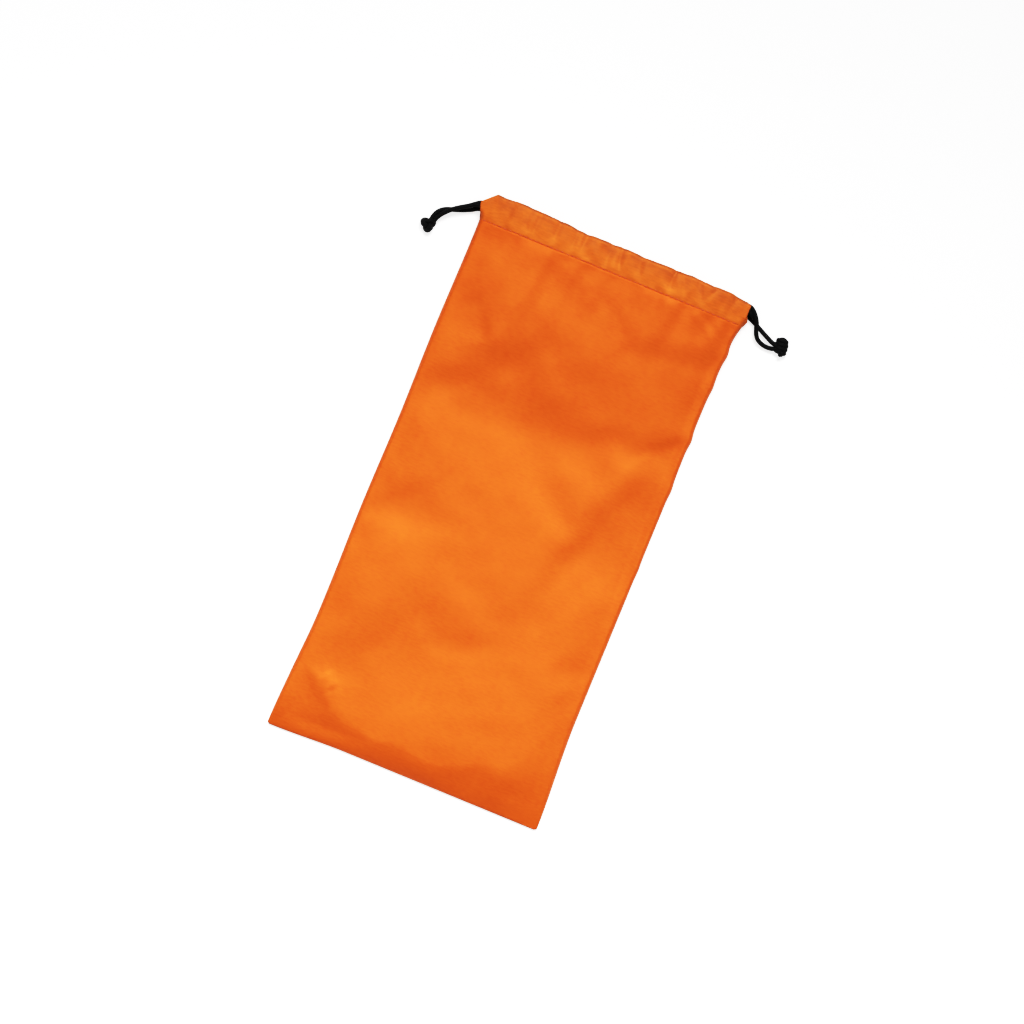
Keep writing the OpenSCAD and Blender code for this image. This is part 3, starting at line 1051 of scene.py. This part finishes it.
def build_cords():
    build_cord(
        "left", -1, (171.8, 168.0, 172.8, 170.3), 95.4,
        [[-86.0, 172.0, 0], [-89.9, 171.9, 7.0], [-93.2, 169.7, 6.9], [-96.6, 167.1, 6.6],
         [-101.8, 163.8, 5.9], [-105.4, 161.1, 5.4], [-108.3, 158.3, 4.9], [-111.1, 154.9, 4.4],
         [-112.6, 152.0, 4.0], [-113.3, 149.4, 3.8], [-114.4, 147.0, 3.6]],
        [[-86.0, 168.4, 2.1], [-90.1, 168.0, 2.1], [-94.0, 165.9, 1.9], [-98.1, 163.9, 1.9],
         [-103.3, 161.9, 2.2], [-108.0, 160.4, 2.6], [-111.6, 158.3, 2.9], [-113.7, 155.7, 3.1],
         [-114.8, 152.6, 3.3], [-115.4, 149.4, 3.5], [-116.4, 147.0, 3.6]])
    build_cord(
        "right", 1, (175.5, 170.0, 170.0, 168.6), 96.2,
        [[86.0, 175.6, 0], [90.3, 175.4, 7.0], [93.0, 173.6, 6.9], [95.2, 171.1, 6.6],
         [97.0, 168.3, 6.2], [98.2, 164.9, 5.4], [99.4, 161.8, 4.5], [101.5, 158.9, 3.5],
         [104.3, 157.3, 2.7], [108.5, 156.4, 2.3], [112.6, 156.9, 2.8], [116.0, 158.5, 3.4]],
        [[86.0, 170.2, 2.1], [90.0, 169.8, 2.1], [92.9, 168.8, 1.9], [96.0, 167.5, 1.9],
         [99.1, 166.0, 2.1], [102.2, 164.4, 2.6], [106.4, 162.3, 3.4], [111.6, 160.0, 4.2],
         [115.5, 159.4, 4.2]])
    pieces = [
        (knot("left_overhand_knot", (-115.8, 147.1), math.radians(256), 1.3, 2.9),
         "left_knot", "left_tail"),
        (cord_ends("left_sealed_ends", (-115.4, 147.2),
                   [(math.radians(-40), 3.2), (math.radians(-66), 5.0)], 4.2),
         "left_cord_ends", "left_tail"),
        (wound_knot("right_overhand_knot", (117.0, 160.6), math.radians(96), 11.0, 9.2, 3.1),
         "right_knot", "right_tail"),
        (cord_ends("right_sealed_ends", (117.6, 157.0),
                   [(math.radians(-48), 3.0), (math.radians(-74), 4.6)], 3.4),
         "right_cord_ends", "right_tail"),
    ]
    for piece, node, body in pieces:
        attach(finish_piece(piece, CORD, node), body)


build_cloth()
build_sewing()
build_cords()


# ---------------------------------------------------------------- stage, light, camera

FLOOR_SIZE, FLOOR_Z = 8, -0.0002
FLOOR_GLOW = 0.5
SOFTBOX_AT, SOFTBOX_AIM = (-0.15, 1.15, 2.5), (0, -0.58, 0)
SOFTBOX_SIZE, SOFTBOX_SPREAD, SOFTBOX_POWER = 1.25, math.radians(36), 4.75
WORLD_LIGHT = 0.24
TONES = [(0.045, 0.038), (0.09, 0.083), (0.146, 0.185), (0.26, 0.42), (0.43, 0.69), (0.69, 0.88)]
CAMERA_HEIGHT = 3.0
CAMERA_X, CAMERA_Y = 0.95 * MM, 0.9 * MM
SENSOR_WIDTH = 36
PICTURE_WIDTH = 0.638
PICTURE_TURN = math.radians(22.35)


def floor():
    """Pale floor, lit up for the camera so that it shows as a white sweep with faint shadows."""
    mat, tree, shader = material("pale_floor", (0.85, 0.85, 0.85), 0.9)
    shader.inputs["Specular IOR Level"].default_value = 0.1
    grain = noise(tree, tree.nodes.new("ShaderNodeTexCoord").outputs["Object"], 40, 2)
    tree.links.new(bump(tree, grain, 0.05 * MM, 0.05), shader.inputs["Normal"])
    seen = tree.nodes.new("ShaderNodeLightPath").outputs["Is Camera Ray"]
    tree.links.new(times(tree, seen, FLOOR_GLOW), shader.inputs["Emission Strength"])
    shader.inputs["Emission Color"].default_value = (1, 1, 1, 1)
    bpy.ops.mesh.primitive_plane_add(size=FLOOR_SIZE, location=(0, 0, FLOOR_Z))
    plane = bpy.context.object
    plane.name = "floor"
    plane.data.materials.append(mat)


def softbox():
    """A lamp with a narrow spread, aimed below the sack, so that the upper half is darker."""
    light = bpy.data.lights.new("softbox", "AREA")
    light.size = SOFTBOX_SIZE
    light.spread = SOFTBOX_SPREAD
    light.energy = SOFTBOX_POWER
    lamp = bpy.data.objects.new("softbox", light)
    lamp.location = SOFTBOX_AT
    lamp.rotation_mode = "QUATERNION"
    lamp.rotation_quaternion = (Vector(SOFTBOX_AIM) - Vector(SOFTBOX_AT)).to_track_quat("-Z", "Y")
    bpy.context.scene.collection.objects.link(lamp)


def surroundings():
    """Even white surroundings: dim as a light, white where the camera sees them."""
    world = bpy.data.worlds.new("studio")
    world.use_nodes = True
    tree = world.node_tree
    back = tree.nodes["Background"]
    back.inputs["Color"].default_value = (1, 1, 1, 1)
    seen = tree.nodes.new("ShaderNodeLightPath").outputs["Is Camera Ray"]
    tree.links.new(math_node(tree, "MAXIMUM", seen, WORLD_LIGHT), back.inputs["Strength"])
    bpy.context.scene.world = world


def camera_response():
    """Tone curve of a camera set for a white ground: steep middle tones, then a soft shoulder."""
    view = bpy.context.scene.view_settings
    view.view_transform = "Standard"
    view.use_curve_mapping = True
    curve = view.curve_mapping.curves[3]
    for seen, shown in TONES:
        curve.points.new(seen, shown)
    view.curve_mapping.update()


def camera():
    """Straight above the sack, which lies turned clockwise in the picture."""
    data = bpy.data.cameras.new("camera")
    data.sensor_width = SENSOR_WIDTH
    data.lens = SENSOR_WIDTH * (CAMERA_HEIGHT - TOP_Z * MM / 2) / PICTURE_WIDTH
    cam = bpy.data.objects.new("camera", data)
    cam.location = (CAMERA_X, CAMERA_Y, CAMERA_HEIGHT)
    cam.rotation_euler = (0, 0, PICTURE_TURN)
    bpy.context.scene.collection.objects.link(cam)
    bpy.context.scene.camera = cam


floor()
softbox()
surroundings()
camera()
camera_response()
